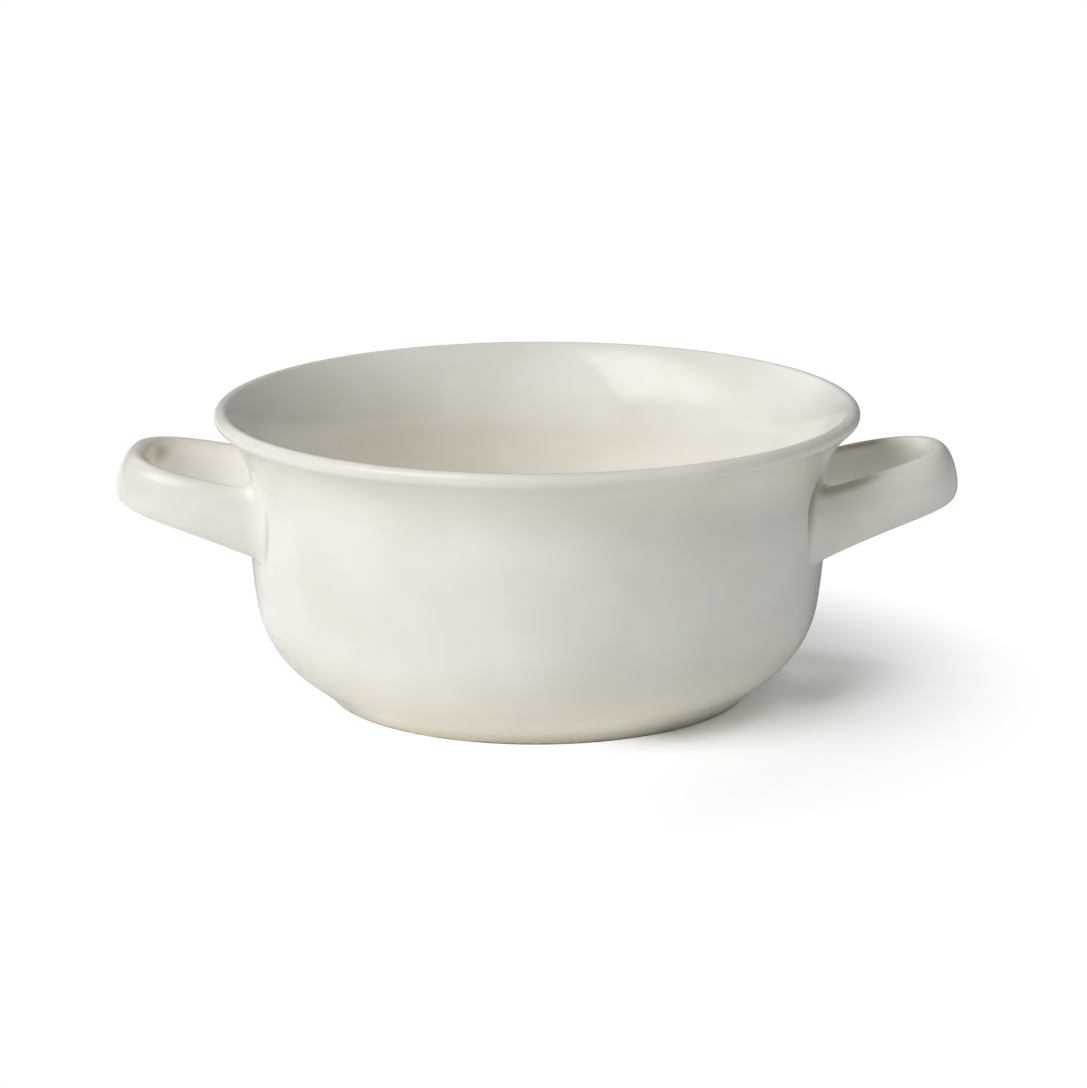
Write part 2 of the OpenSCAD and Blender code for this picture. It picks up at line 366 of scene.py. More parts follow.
# Half width, the strap's height at the tip, how far the tip lies under the rim, and the roots'
# sag, in mm; tilt and lean in degrees. A spot is its height, loop angle and length in radians,
# then section angle in degrees and width in radians; a dent's height is in mm
# Each of the pools is a darker place on the strap: partly pooled glaze, partly painted shade
LEFT_LOOP = dict(half_w=20.0, squareness=2.95, tip_h=11.0, drop=14.8, tilt=12.3, lean=6.0, sag=1.3,
                 dent=(0.35, -0.9, 0.4, 185, 0.5), shade_pools=[(0.8, 0.4, 0.3, 30, 0.6)])
RIGHT_LOOP = dict(half_w=17.5, squareness=2.35, tip_h=12.3, drop=15.2, tilt=10.1, lean=3.9, sag=3.5,
                  dent=(0.8, -0.95, 0.36, 135, 0.4),
                  shade_pools=[(0.95, -1.28, 0.3, 112, 0.48), (1.2, 1.12, 0.3, 80, 0.45)])


def signed_power(x, power):
    return np.sign(x) * np.abs(x) ** power


def root_r(loop):
    return math.sqrt(BELLY_R ** 2 - (loop["half_w"] + STRAP_T) ** 2)


def loop_line(loop, t):
    """Points of the middle line at loop angles t, in radians, and how far in each one lies."""
    x = root_r(loop) + (TIP_R - root_r(loop)) * signed_power(np.cos(t), 2 / loop["squareness"])
    y = loop["half_w"] * signed_power(np.sin(t), 2 / loop["squareness"])
    inward = (TIP_R - x) / (TIP_R - root_r(loop))
    z = (RIM_H - loop["drop"] - math.tan(math.radians(loop["tilt"])) * (TIP_R - x)
         - loop["sag"] * inward ** 2)
    return np.stack([x, y, z], axis=-1), inward


print("the middle lines begin", [round(root_r(loop), 2) for loop in (LEFT_LOOP, RIGHT_LOOP)],
      "mm out and end", round(TIP_R, 2), "mm out")

# %% Points on the strap
PROBE = math.radians(0.5)


def unit(v):
    return v / np.linalg.norm(v, axis=-1, keepdims=True)


def spot(settings, t, a):
    """A smooth hump round one place on the strap, as high as its first number."""
    height, place, length, angle, width = settings
    aside = (a - math.radians(angle) + math.pi) % (2 * math.pi) - math.pi
    return height * np.exp(-((t - place) / length) ** 2 - (aside / width) ** 2)


def strap_shade_pools(loop, t, a):
    """How much pooled glaze and painted shade darken the strap at loop angles t and section angles a.
    """
    return sum(spot(shade_pool, t, a) for shade_pool in loop["shade_pools"])


def strap_points(loop, t, a):
    """Points of the strap's surface at loop angles t and section angles a."""
    middle, inward = loop_line(loop, t)
    along = unit(loop_line(loop, t + PROBE)[0] - loop_line(loop, t - PROBE)[0])
    lean = math.radians(loop["tilt"] + loop["lean"])
    across = unit(np.cross([-math.sin(lean), 0.0, math.cos(lean)], along))
    upward = np.cross(along, across)
    height = loop["tip_h"] + (ROOT_H - loop["tip_h"]) * inward ** 2
    out = STRAP_T / 2 * signed_power(np.cos(a), 2 / STRAP_SQUARENESS) + spot(loop["dent"], t, a)
    rise = height / 2 * signed_power(np.sin(a), 2 / STRAP_SQUARENESS)
    return middle + across * out[..., None] + upward * rise[..., None]


tip_outside = strap_points(RIGHT_LOOP, np.zeros(1), np.full(1, math.pi))[0]
print("the right strap's outer face at the tip lies at", np.round(tip_outside, 2), "mm")

# %% [markdown]
# A strap has to end on the wall, neither short of it nor inside the bowl. The wall's radius at
# any height comes from the same arcs as the section. Where each of the strap's long lines meets
# it is found by halving: half of the stretch between a point inside the wall and one outside is
# thrown away, again and again.


# %% Where a strap meets the wall
def wall_r(z):
    base = base_c[0] + np.sqrt(np.maximum(0, BASE_ARC ** 2 - (z - base_c[1]) ** 2))
    belly = belly_c[0] + np.sqrt(BELLY_ARC ** 2 - (z - belly_c[1]) ** 2)
    neck = neck_c[0] - np.sqrt(np.maximum(0, NECK_ARC ** 2 - (z - neck_c[1]) ** 2))
    return np.where(z < join_z, base, np.where(z < NECK_Z, belly, neck))


def off_wall(points):
    """How far points stand out from the wall, measured straight out from the axis."""
    return np.hypot(points[..., 0], points[..., 1]) - wall_r(points[..., 2])


def seat_angles(loop, a, clear, side, halvings=40):
    """Loop angles at which the strap's lines stand a distance clear of the wall."""
    inner, outer = np.full(len(a), side * math.pi / 2), np.zeros(len(a))
    for _ in range(halvings):
        middle = (inner + outer) / 2
        inside = off_wall(strap_points(loop, middle, a)) < clear
        inner, outer = np.where(inside, middle, inner), np.where(inside, outer, middle)
    return inner


print("the belly's radius is", round(float(wall_r(BELLY_Z)), 2), "mm")

# %% [markdown]
# A strap is then a tube of 150 rings, closed at both ends inside the joints. A point attribute
# says how much pooled glaze and painted shade lie at each point, for the glaze to read later.


# %% Make the straps
def tube_faces(rings, around, closed=False):
    """Quads of a tube of rings; a closed tube joins its last ring to its first."""
    faces = []
    for i in range(rings if closed else rings - 1):
        for j in range(around):
            near, far = i * around, (i + 1) % rings * around
            faces.append((near + j, near + (j + 1) % around, far + (j + 1) % around, far + j))
    return faces


def make_piece(name, points_mm, faces, depths):
    """A closed, smooth mesh that looks outward, with its pooled glaze and painted shade at each point.
    """
    mesh = new_mesh(name, points_mm, faces=faces)
    mesh.validate()
    if volume_ml(mesh) < 0:
        mesh.flip_normals()
    mesh.shade_smooth()
    mesh.attributes.new("pool_shade", "FLOAT", "POINT").data.foreach_set("value", np.ravel(depths))
    piece = bpy.data.objects.new(name, mesh)
    bpy.context.scene.collection.objects.link(piece)
    print(name, len(mesh.polygons), "faces,", round(volume_ml(mesh), 3), "ml")
    return piece


def section_angles(count):
    return np.arange(count) * 2 * math.pi / count


def make_strap(name, loop, mirror, rings=150, around=72):
    a = section_angles(around)
    back, front = (seat_angles(loop, a, 0.0, side) for side in (1, -1))
    share = np.linspace(0, 1, rings)[:, None]
    t = back + (front - back) * share
    points = strap_points(loop, t, np.broadcast_to(a, t.shape)).reshape(-1, 3)
    ends = [points[:around].mean(axis=0), points[-around:].mean(axis=0)]
    first, last = len(points), (rings - 1) * around
    faces = tube_faces(rings, around)
    faces += [(first, (j + 1) % around, j) for j in range(around)]
    faces += [(first + 1, last + j, last + (j + 1) % around) for j in range(around)]
    points = np.vstack([points, ends]) * [mirror, 1, 1]
    return make_piece(name, points, faces, np.append(strap_shade_pools(loop, t, a), [0.0, 0.0]))


left_strap = make_strap("left_strap", LEFT_LOOP, -1)
right_strap = make_strap("right_strap", RIGHT_LOOP, 1)

# %% [markdown]
# ## Slip pressed into the joints
#
# The potter seals each root with slip and smooths it with a fingertip, and the glaze then pools
# in the hollow. The joint is a ring with a hollow outer face: it leaves the wall at a tangent
# and meets the strap at a tangent, so that the gloss runs through without a line. A curve with
# three control points does this at every place round the root: one on the wall, one in the
# corner between wall and strap, and one on the strap. Its steps are bunched towards both ends,
# because the shading at an edge is only as smooth as the last small face there. The joint is
# drawn darkest a little way up from the wall, and on one side of the root, which is partly
# pooled glaze and partly painted shade in the crease, and a dark spot that begins on the strap
# runs on into the joint.

# %% The joints' places and widths
SHARP_EDGE = math.radians(40)
# Where the pooled glaze and painted shade are darkest, as a share of the way from the wall up
# to the strap, and how dark they are all round the root, as a share of the darkest side
CREASE_SHARE, ALL_ROUND_SHARE = 0.14, 0.25
# Width of each joint in millimetres inside the loop, on top, outside and below,
# then the section angle, in degrees, beside which the pooled glaze and painted shade are
# darkest, and how dark
ROOTS = {"left_front": ((3.5, 5.0, 4.0, 1.6), (195, 0.6)),
         "left_back": ((3.0, 3.0, 2.5, 1.5), (90, 0.6)),
         "right_front": ((2.5, 3.8, 6.0, 1.2), (135, 1.0)),
         "right_back": ((2.5, 2.5, 2.0, 1.5), (90, 0.6))}


def wall_normal(points):
    step = LIP_R / 10
    x, y, z = points[..., 0], points[..., 1], points[..., 2]
    r = np.hypot(x, y)
    slope = (wall_r(z + step) - wall_r(z - step)) / (2 * step)
    return unit(np.stack([x / r, y / r, -slope], axis=-1))


def on_wall(points):
    share = wall_r(points[..., 2]) / np.hypot(points[..., 0], points[..., 1])
    return points * np.stack([share, share, np.ones_like(share)], axis=-1)


def width_round(widths, a):
    """The joint's width at section angles a, from its widths inside, on top, outside and below."""
    inside, top, outside, below = widths
    level = np.cos(a) ** 2
    return level * np.where(np.cos(a) > 0, inside, outside) + (1 - level) * np.where(
        np.sin(a) > 0, top, below)


print("the widest joint reaches", max(max(widths) for widths, shade_pool in ROOTS.values()), "mm")

# %% Make the joints
def make_joint(name, loop, side, mirror, widths, shade_pool, around=120, steps=20):
    a = section_angles(around)
    width = width_round(widths, a)
    seat, edge = (seat_angles(loop, a, clear, side) for clear in (0.0, width))
    corner, high = strap_points(loop, seat, a), strap_points(loop, edge, a)
    round_root = np.roll(corner, -1, axis=0) - np.roll(corner, 1, axis=0)
    away = side * unit(np.cross(wall_normal(corner), round_root))
    low = on_wall(corner + width[:, None] * away)
    even = np.linspace(0, 1, steps + 1)
    s = even ** 2 * (3 - 2 * even)
    t = s[None, :, None]
    hollow = (1 - t) ** 2 * low[:, None] + 2 * t * (1 - t) * corner[:, None] + t ** 2 * high[:, None]
    points = np.concatenate([corner[:, None], hollow], axis=1).reshape(-1, 3) * [mirror, 1, 1]

    # Painted shade in the crease, together with pooled glaze: darkest a little way up from the wall
    crease = s / CREASE_SHARE
    depth = np.append(0.0, crease * np.exp(1 - crease))
    shade_pool_angle, shade_pool_depth = shade_pool
    beside = np.maximum(0, np.cos(a - math.radians(shade_pool_angle))) ** 2
    in_crease = shade_pool_depth * (ALL_ROUND_SHARE + (1 - ALL_ROUND_SHARE) * beside)[:, None] * depth
    from_strap = strap_shade_pools(
        loop, seat[:, None] + (edge - seat)[:, None] * np.append(0.0, s), a[:, None])
    piece = make_piece(name, points, tube_faces(around, steps + 2, closed=True),
                       np.maximum(from_strap, in_crease))
    piece.data.set_sharp_from_angle(angle=SHARP_EDGE)
    return piece


joints = {}
for root, (widths, shade_pool) in ROOTS.items():
    left, front = root.startswith("left"), root.endswith("front")
    joints[root] = make_joint(root + "_joint", LEFT_LOOP if left else RIGHT_LOOP,
                              -1 if front else 1, -1 if left else 1, widths, shade_pool)

# %% [markdown]
# ## The hand in it
#
# No bowl comes off a wheel perfectly round. Three slow waves press every piece in by up to a
# quarter of a millimetre, which nobody would measure, but which the eye sees at once, because
# the reflections in the glaze begin to bend. The same waves go through all the pieces, so that
# what touches still touches. They only press inwards, so that the size holds, and they grow from
# nothing on the axis. The rim also droops by less than a tenth of a millimetre.

# %% Press the pieces in a little by hand
HAND_DEPTH = 0.25
# Each wave's share of the depth, its waves round the bowl, the height in mm in which it turns by
# a radian, and its start
WAVES = ((0.5, 2, 25, 0.6), (0.3, 3, -14, 2.0), (0.2, 5, 9, 0.0))
# The share of the depth that is even all round, then the share that rises and falls
PRESS_SHARES, DROOP_SHARES = (0.55, 0.45), (0.17, 0.13)
DROOP_START, DROOP_POWER = 1.0, 4


def pressed_by_hand(points):
    x, y, z = points.T
    angle, r = np.arctan2(y, x), np.hypot(x, y)
    waves = sum(share * np.sin(count * angle + z / climb + start)
                for share, count, climb, start in WAVES)
    depth = HAND_DEPTH * (PRESS_SHARES[0] + PRESS_SHARES[1] * waves) * np.minimum(1, r / BASE_ARC)
    pressed = 1 - depth / np.maximum(r, TINY_MM)
    uneven = DROOP_SHARES[0] + DROOP_SHARES[1] * np.sin(2 * angle + DROOP_START)
    droop = HAND_DEPTH * uneven * (z / RIM_H) ** DROOP_POWER
    return np.column_stack([x * pressed, y * pressed, z - droop])


for piece in (bowl, foot, left_strap, right_strap, *joints.values()):
    points = np.empty(3 * len(piece.data.vertices))
    piece.data.vertices.foreach_get("co", points)
    moved = pressed_by_hand(points.reshape(-1, 3) / MM) * MM
    piece.data.vertices.foreach_set("co", moved.ravel())
    piece.data.update()
    shift = np.linalg.norm(moved - points.reshape(-1, 3), axis=1).max() / MM
    print(piece.name, "pressed in by up to", round(shift, 3), "mm")

# %% [markdown]
# ## The glaze
#
# The finish is a glossy cream-white stoneware glaze: a glass about a third of a millimetre
# thick, made white by fine crystals and fired at some 1200 degrees. To the eye it is a pale, warm,
# even colour under a clear shine with soft-edged reflections. Glass has an IOR near 1.5, and a
# roughness near 0.1 softens the reflections' edges as much as the photograph does. The
# glaze flowed a little as it melted, so its surface swells and dips gently, which is drawn as
# bump: one wave about 14 mm long, and a much fainter one of about 2 mm, like orange peel.
#
# Over the lowest 22 mm of the wall the glaze ran together and is thicker and warmer. The
# underside of the flare is given a painted warm shade, and the foot a warmer, darker tone that is
# partly painted shade near the table. The joints and a few spots on the straps turn olive grey:
# partly pooled glaze, partly painted shade in creases, bends and under edges.


# %% Colours and sizes of patterns
def colour(code):
    """A hex code as people write colours, turned to the linear values that shaders use."""
    parts = [int(code[i:i + 2], 16) / 255 for i in (1, 3, 5)]
    linear = [c / 12.92 if c <= 0.04045 else ((c + 0.055) / 1.055) ** 2.4 for c in parts]
    return (*linear, 1.0)


def swells(size_mm):
    """The scale at which a noise texture's swells are about size_mm apart."""
    return 1 / (size_mm * MM)


def new_material(name):
    material = bpy.data.materials.new(name)
    material.use_nodes = True
    material.node_tree.nodes.clear()
    return material


# A Map Range node that eases in and out, and the numbers of a Mix node's colour inputs
EASED = {"interpolation_type": "SMOOTHSTEP"}
COLOUR_A, COLOUR_B = 6, 7
print("cream white is", [round(c, 3) for c in colour("#f2efe8")[:3]], "in linear light")

# %% The colour of the glaze
CLOUD_MM = 22
WARM_TOP, WARM_BOTTOM = 22 * MM, 2 * MM
NECK_LOW, NECK_HIGH = 42 * MM, 52 * MM
FOOT_TOP, FOOT_BOTTOM = 4 * MM, 1 * MM


def cloudy_cream(tree, place):
    """The even part of the glaze: cream white with faint clouds."""
    swell = add_node(tree, "ShaderNodeTexNoise",
                     {"Scale": swells(CLOUD_MM), "Detail": 3, "Vector": place})
    clouds = add_node(tree, "ShaderNodeMapRange",
                      EASED | {"Value": swell, "From Min": 0.3, "From Max": 0.7})
    return add_node(tree, "ShaderNodeMix",
                    {"data_type": "RGBA", 0: clouds, COLOUR_A: colour("#f2efe8"),
                     COLOUR_B: colour("#ebe7dd")})


def shade_under_flare(tree, height):
    """Painted warm shade where the wall looks down, near the rim."""
    facing = add_node(tree, "ShaderNodeTexCoord").outputs["Normal"]
    facing_up = add_node(tree, "ShaderNodeSeparateXYZ", {"Vector": facing}).outputs["Z"]
    looks_down = add_node(tree, "ShaderNodeMapRange",
                          EASED | {"Value": facing_up, "From Min": 0.0, "From Max": -0.5,
                                   "To Max": 0.35})
    near_rim = add_node(tree, "ShaderNodeMapRange",
                        EASED | {"Value": height, "From Min": NECK_LOW, "From Max": NECK_HIGH})
    return add_node(tree, "ShaderNodeMath", {"operation": "MULTIPLY", 0: looks_down, 1: near_rim})


def glaze_colour(tree, place):
    """Cream white, warmer low on the wall, with painted warm shade under the flare, and warmer
    and darker on the foot, partly painted shade near the table.
    """
    height = add_node(tree, "ShaderNodeSeparateXYZ", {"Vector": place}).outputs["Z"]
    low = add_node(tree, "ShaderNodeMapRange",
                   EASED | {"Value": height, "From Min": WARM_TOP, "From Max": WARM_BOTTOM,
                            "To Max": 0.7})
    warm = add_node(tree, "ShaderNodeMath",
                    {"operation": "MAXIMUM", 0: low, 1: shade_under_flare(tree, height)})
    warmed = add_node(tree, "ShaderNodeMix",
                      {"data_type": "RGBA", 0: warm, COLOUR_A: cloudy_cream(tree, place),
                       COLOUR_B: colour("#f6efd8")})
    # Warmer and darker over the lowest few millimetres: partly the glaze's own colour, partly painted
    # shade near the table
    on_foot = add_node(tree, "ShaderNodeMapRange",
                       EASED | {"Value": height, "From Min": FOOT_TOP, "From Max": FOOT_BOTTOM,
                                "To Max": 0.6})
    return add_node(tree, "ShaderNodeMix",
                    {"data_type": "RGBA", 0: on_foot, COLOUR_A: warmed, COLOUR_B: colour("#dfd8b2")})


print("the glaze turns warmer over the lowest", round(WARM_TOP / MM), "mm of the wall")

# %% The cream-white glaze
GLAZE_IOR, GLAZE_ROUGHNESS = 1.5, 0.095
SWELL_MM, SWELL_DEPTH = 14, 0.08 * MM
PEEL_MM, PEEL_DEPTH = 2, 0.004 * MM


def glaze_bump(tree, place):
    """The gentle swell of the melted glaze, and a fainter orange peel on top of it."""
    swell = add_node(tree, "ShaderNodeTexNoise",
                     {"Scale": swells(SWELL_MM), "Detail": 1, "Vector": place})
    peel = add_node(tree, "ShaderNodeTexNoise",
                    {"Scale": swells(PEEL_MM), "Detail": 2, "Vector": place})
    swelling = add_node(tree, "ShaderNodeBump", {"Distance": SWELL_DEPTH, "Height": swell})
    return add_node(tree, "ShaderNodeBump",
                    {"Distance": PEEL_DEPTH, "Height": peel, "Normal": swelling})


def cream_white_glaze(name, pooled_and_painted_shade=False):
    material = new_material(name)
    tree = material.node_tree
    place = add_node(tree, "ShaderNodeTexCoord").outputs["Object"]
    shade = glaze_colour(tree, place)
    if pooled_and_painted_shade:
        # Pooled glaze and painted shade in creases, bends and under edges turn the glaze olive grey
        depth = add_node(tree, "ShaderNodeAttribute", {"attribute_name": "pool_shade"}).outputs["Fac"]
        pool_shade = add_node(tree, "ShaderNodeMapRange",
                          EASED | {"Value": depth, "From Min": 0.2, "To Max": 0.9})
        shade = add_node(tree, "ShaderNodeMix",
                         {"data_type": "RGBA", 0: pool_shade, COLOUR_A: shade, COLOUR_B: colour("#aba691")})
    shader = add_node(tree, "ShaderNodeBsdfPrincipled",
                      {"IOR": GLAZE_IOR, "Roughness": GLAZE_ROUGHNESS, "Base Color": shade,
                       "Normal": glaze_bump(tree, place)})
    add_node(tree, "ShaderNodeOutputMaterial", {"Surface": shader})
    return material


wall_glaze = cream_white_glaze("cream_white_stoneware_glaze")
pooled_and_shaded_glaze = cream_white_glaze("cream_white_glaze_pooled_and_painted_shade", pooled_and_painted_shade=True)
print("glazes:", wall_glaze.name, "and", pooled_and_shaded_glaze.name)

# %% [markdown]
# ## The foot's two finishes
#
# Glaze sticks to whatever it touches in the kiln, so the potter wipes it off the line that the
# crock stands on. What shows there is bare stoneware, matt and very slightly gritty, and it goes
# about 0.3 mm up the rounded edge. It is drawn a darker olive tan than the clay's own warm tan:
# painted contact shade where the crock meets the table. One material holds both finishes: the
# height above the table, made a little uneven by noise, says which one is seen. The grit is about
# 0.7 mm apart, and its bump fades out where the glaze begins, because glass fills it.

# %% Glaze above, bare clay below
CLAY_ROUGHNESS, GRIT_MM, GRIT_DEPTH = 0.75, 0.7, 0.02 * MM
WIPE_MM, WIPE_WAVER = 6, 0.5 * MM
WIPED_BELOW, GLAZED_ABOVE = 0.45 * MM, 0.65 * MM


def glaze_edge(tree, place):
    """0 where the glaze is wiped off and 1 on the glaze, with a wavering line between them."""
    height = add_node(tree, "ShaderNodeSeparateXYZ", {"Vector": place}).outputs["Z"]
    waver = add_node(tree, "ShaderNodeTexNoise",
                     {"Scale": swells(WIPE_MM), "Detail": 2, "Vector": place})
    wavy = add_node(tree, "ShaderNodeMath",
                    {"operation": "MULTIPLY_ADD", 0: waver, 1: WIPE_WAVER, 2: height})
    return add_node(tree, "ShaderNodeMapRange",
                    EASED | {"Value": wavy, "From Min": WIPED_BELOW, "From Max": GLAZED_ABOVE})


def glaze_over_shaded_bare_clay():
    material = new_material("glaze_wiped_off_shaded_bare_stoneware")
    tree = material.node_tree
    place = add_node(tree, "ShaderNodeTexCoord").outputs["Object"]
    glazed = glaze_edge(tree, place)
    sand = add_node(tree, "ShaderNodeTexNoise",
                    {"Scale": swells(GRIT_MM), "Detail": 3, "Vector": place})
    grit = add_node(tree, "ShaderNodeMapRange",
                    EASED | {"Value": sand, "From Min": 0.35, "From Max": 0.65})
    # The bare clay is drawn darker than its own tan, as painted contact shade on the standing line
    shaded_clay = add_node(tree, "ShaderNodeMix", {"data_type": "RGBA", 0: grit,
                                            COLOUR_A: colour("#8f8569"), COLOUR_B: colour("#7c7258")})
    shade = add_node(tree, "ShaderNodeMix", {"data_type": "RGBA", 0: glazed, COLOUR_A: shaded_clay,
                                             COLOUR_B: glaze_colour(tree, place)})
    gloss = add_node(tree, "ShaderNodeMapRange",
                     EASED | {"Value": glazed, "To Min": CLAY_ROUGHNESS, "To Max": GLAZE_ROUGHNESS})
    bare = add_node(tree, "ShaderNodeMapRange",
                    EASED | {"Value": glazed, "To Min": 1.0, "To Max": 0.0})
    rough = add_node(tree, "ShaderNodeBump",
                     {"Distance": GRIT_DEPTH, "Strength": bare, "Height": grit})
    shader = add_node(tree, "ShaderNodeBsdfPrincipled",
                      {"IOR": GLAZE_IOR, "Base Color": shade, "Roughness": gloss, "Normal": rough})
    add_node(tree, "ShaderNodeOutputMaterial", {"Surface": shader})
    return material


foot_finish = glaze_over_shaded_bare_clay()
print("foot:", foot_finish.name)

# %% [markdown]
# ## Dressing the frame
#
# Each finished piece takes the place of one CAD node and rides on the crock's one rigid body.

# %% Give each piece its node, body and finish
NODE_OF = [(bowl, "crock_body", "body_glaze", wall_glaze),
           (foot, "foot_ring", "bare_clay", foot_finish),
           (left_strap, "left_handle", "handle_glaze", pooled_and_shaded_glaze),
           (right_strap, "right_handle", "handle_glaze", pooled_and_shaded_glaze)]
NODE_OF += [(joint, root + "_luting", "luting_glaze", pooled_and_shaded_glaze)
            for root, joint in joints.items()]
for piece, node, slot, finish in NODE_OF:
    piece.data.materials.clear()
    piece.data.materials.append(finish)
    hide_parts(node)
    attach(piece, "root")
    print(piece.name, "replaces", node, "and takes", slot)

# %% [markdown]
# ## White paper
#
# The crock stands on white paper, large enough to fill the picture. Paper is matt and throws
# back nearly all the light that falls on it, which brightens the crock from below. In the
# photograph it is overexposed: only the heart of the shadow, on the right, is grey. So camera,
# glossy and transmission rays are shown a brighter paper than the one that lights the crock,
# and it runs out to plain white on the side away from the shadow and beyond it. The light on
# the crock stays the same.

# %% Helpers for places round the crock
PAPER_R, PAPER_CORNERS = 4.0, 96
PAPER_WHITE, OVEREXPOSED = 0.95, 1.24
SHADOW_AZIMUTH = math.radians(5)
# Angles from the shadow's middle and distances from the axis between which the paper runs out
# to white, then those between which the shade under the belly is painted a little lighter
SHADOW_SIDES = (math.radians(50), math.radians(85))
SHADOW_END = (60 * MM, 116 * MM)
UNDER_BELLY, UNDER_BELLY_WHITE = (68 * MM, 50 * MM), 0.12


def grey(value):
    return (value, value, value, 1.0)


def azimuth_from(tree, place, middle):
    """The azimuth of a place or direction, counted from a middle one, in radians."""
    turned = add_node(tree, "ShaderNodeVectorRotate",
                      {"rotation_type": "Z_AXIS", "Angle": -middle, "Vector": place})
    split = add_node(tree, "ShaderNodeSeparateXYZ", {"Vector": turned}).outputs
    return add_node(tree, "ShaderNodeMath", {"operation": "ARCTAN2", 0: split["Y"], 1: split["X"]})


def aside_from(tree, place, middle):
    """The angle between a place's azimuth and the middle one, from 0 to half a circle."""
    return add_node(tree, "ShaderNodeMath",
                    {"operation": "ABSOLUTE", 0: azimuth_from(tree, place, middle)})


print("the shadow's middle lies at azimuth", round(math.degrees(SHADOW_AZIMUTH)), "degrees")

# %% White paper under the crock
def white_share(tree, place):
    """0 in the heart of the shadow and 1 where the paper is plain white."""
    away = add_node(tree, "ShaderNodeVectorMath", {"operation": "LENGTH", 0: place})
    sides = add_node(tree, "ShaderNodeMapRange",
                     EASED | {"Value": aside_from(tree, place, SHADOW_AZIMUTH),
                              "From Min": SHADOW_SIDES[0], "From Max": SHADOW_SIDES[1]})
    end = add_node(tree, "ShaderNodeMapRange",
                   EASED | {"Value": away, "From Min": SHADOW_END[0], "From Max": SHADOW_END[1]})
    under = add_node(tree, "ShaderNodeMapRange",
                     EASED | {"Value": away, "From Min": UNDER_BELLY[0],
                              "From Max": UNDER_BELLY[1], "To Max": UNDER_BELLY_WHITE})
    most = add_node(tree, "ShaderNodeMath", {"operation": "MAXIMUM", 0: end, 1: under})
    return add_node(tree, "ShaderNodeMath", {"operation": "MAXIMUM", 0: sides, 1: most})


def overexposed_paper():
    material = new_material("matt_white_paper_overexposed")
    tree = material.node_tree
    rays = add_node(tree, "ShaderNodeLightPath").outputs
    mirrored = add_node(tree, "ShaderNodeMath", {"operation": "MAXIMUM", 0: rays["Is Glossy Ray"],
                                                 1: rays["Is Transmission Ray"]})
    seen = add_node(tree, "ShaderNodeMath",
                    {"operation": "MAXIMUM", 0: rays["Is Camera Ray"], 1: mirrored})
    place = add_node(tree, "ShaderNodeTexCoord").outputs["Object"]
    paper = add_node(tree, "ShaderNodeBsdfDiffuse", {"Color": grey(PAPER_WHITE)})
    bright = add_node(tree, "ShaderNodeBsdfDiffuse", {"Color": grey(OVEREXPOSED)})
    white = add_node(tree, "ShaderNodeEmission", {"Color": grey(1.0)})
    shown = add_node(tree, "ShaderNodeMixShader",
                     {0: white_share(tree, place), 1: bright, 2: white})
    surface = add_node(tree, "ShaderNodeMixShader", {0: seen, 1: paper, 2: shown})
    add_node(tree, "ShaderNodeOutputMaterial", {"Surface": surface})
    return material


def make_thing(name, points, faces, material):
    """A piece of the studio, which isn't part of the crock. Its points are in metres."""
    mesh = bpy.data.meshes.new(name)
    mesh.from_pydata(points, [], faces)
    mesh.materials.append(material)
    thing = bpy.data.objects.new(name, mesh)
    bpy.context.scene.collection.objects.link(thing)
    print(name, "is", round(max(thing.dimensions), 3), "m across")
    return thing


paper_edge = [(PAPER_R * math.cos(a), PAPER_R * math.sin(a), 0.0)
              for a in section_angles(PAPER_CORNERS)]
make_thing("white_paper", paper_edge, [tuple(range(PAPER_CORNERS))], overexposed_paper())

# %% [markdown]
# ## A grey card for the edges
#
# A white pot on white paper loses its edges, because at a glancing angle the glaze mirrors the
# paper. A photographer stands grey cards just outside the picture, so that the edges mirror
# something darker. This card is a ring on the paper with a wall at its outer edge, and only
# glossy rays see it. It is graded: it is full behind the crock and fades out towards both sides,
# sooner on the left, where the photograph's edge is light. Close to the foot it is about half
# there, all round but for the front.

# %% A grey card that only the gloss sees
CARD_GREY = 0.2
CARD_IN, CARD_R, CARD_LIFT, CARD_H = 45.2 * MM, 115 * MM, 0.2 * MM, 95 * MM
CARD_TURN, CARD_CORNERS = (math.radians(-60), math.radians(230)), 96
# The azimuth of the middle, then how far from it the card begins and ends to fade, in degrees
BEHIND, ROUND_FOOT = (72, 42, 92), (85, 120, 145)
# Distances from the axis between which the card thickens towards the foot, and how far
TOWARDS_FOOT, AT_FOOT = ((95 * MM, 62 * MM, 0.45), (58 * MM, 48 * MM, 0.6))


def fading(tree, place, around):
    """1 near the middle azimuth and 0 far from it."""
    middle, begins, ends = (math.radians(angle) for angle in around)
    return add_node(tree, "ShaderNodeMapRange",
                    EASED | {"Value": aside_from(tree, place, middle), "From Min": begins,
                             "From Max": ends, "To Min": 1.0, "To Max": 0.0})


def card_share(tree, place):
    """How much of the card is there, from 0, clear, to 1."""
    away = add_node(tree, "ShaderNodeVectorMath", {"operation": "LENGTH", 0: place})
    rising = [add_node(tree, "ShaderNodeMapRange",
                       EASED | {"Value": away, "From Min": far, "From Max": near, "To Max": most})
              for far, near, most in (TOWARDS_FOOT, AT_FOOT)]
    near = add_node(tree, "ShaderNodeMath", {"operation": "MAXIMUM", 0: rising[0], 1: rising[1]})
    close = add_node(tree, "ShaderNodeMath",
                     {"operation": "MULTIPLY", 0: fading(tree, place, ROUND_FOOT), 1: near})
    return add_node(tree, "ShaderNodeMath",
                    {"operation": "MAXIMUM", 0: fading(tree, place, BEHIND), 1: close})


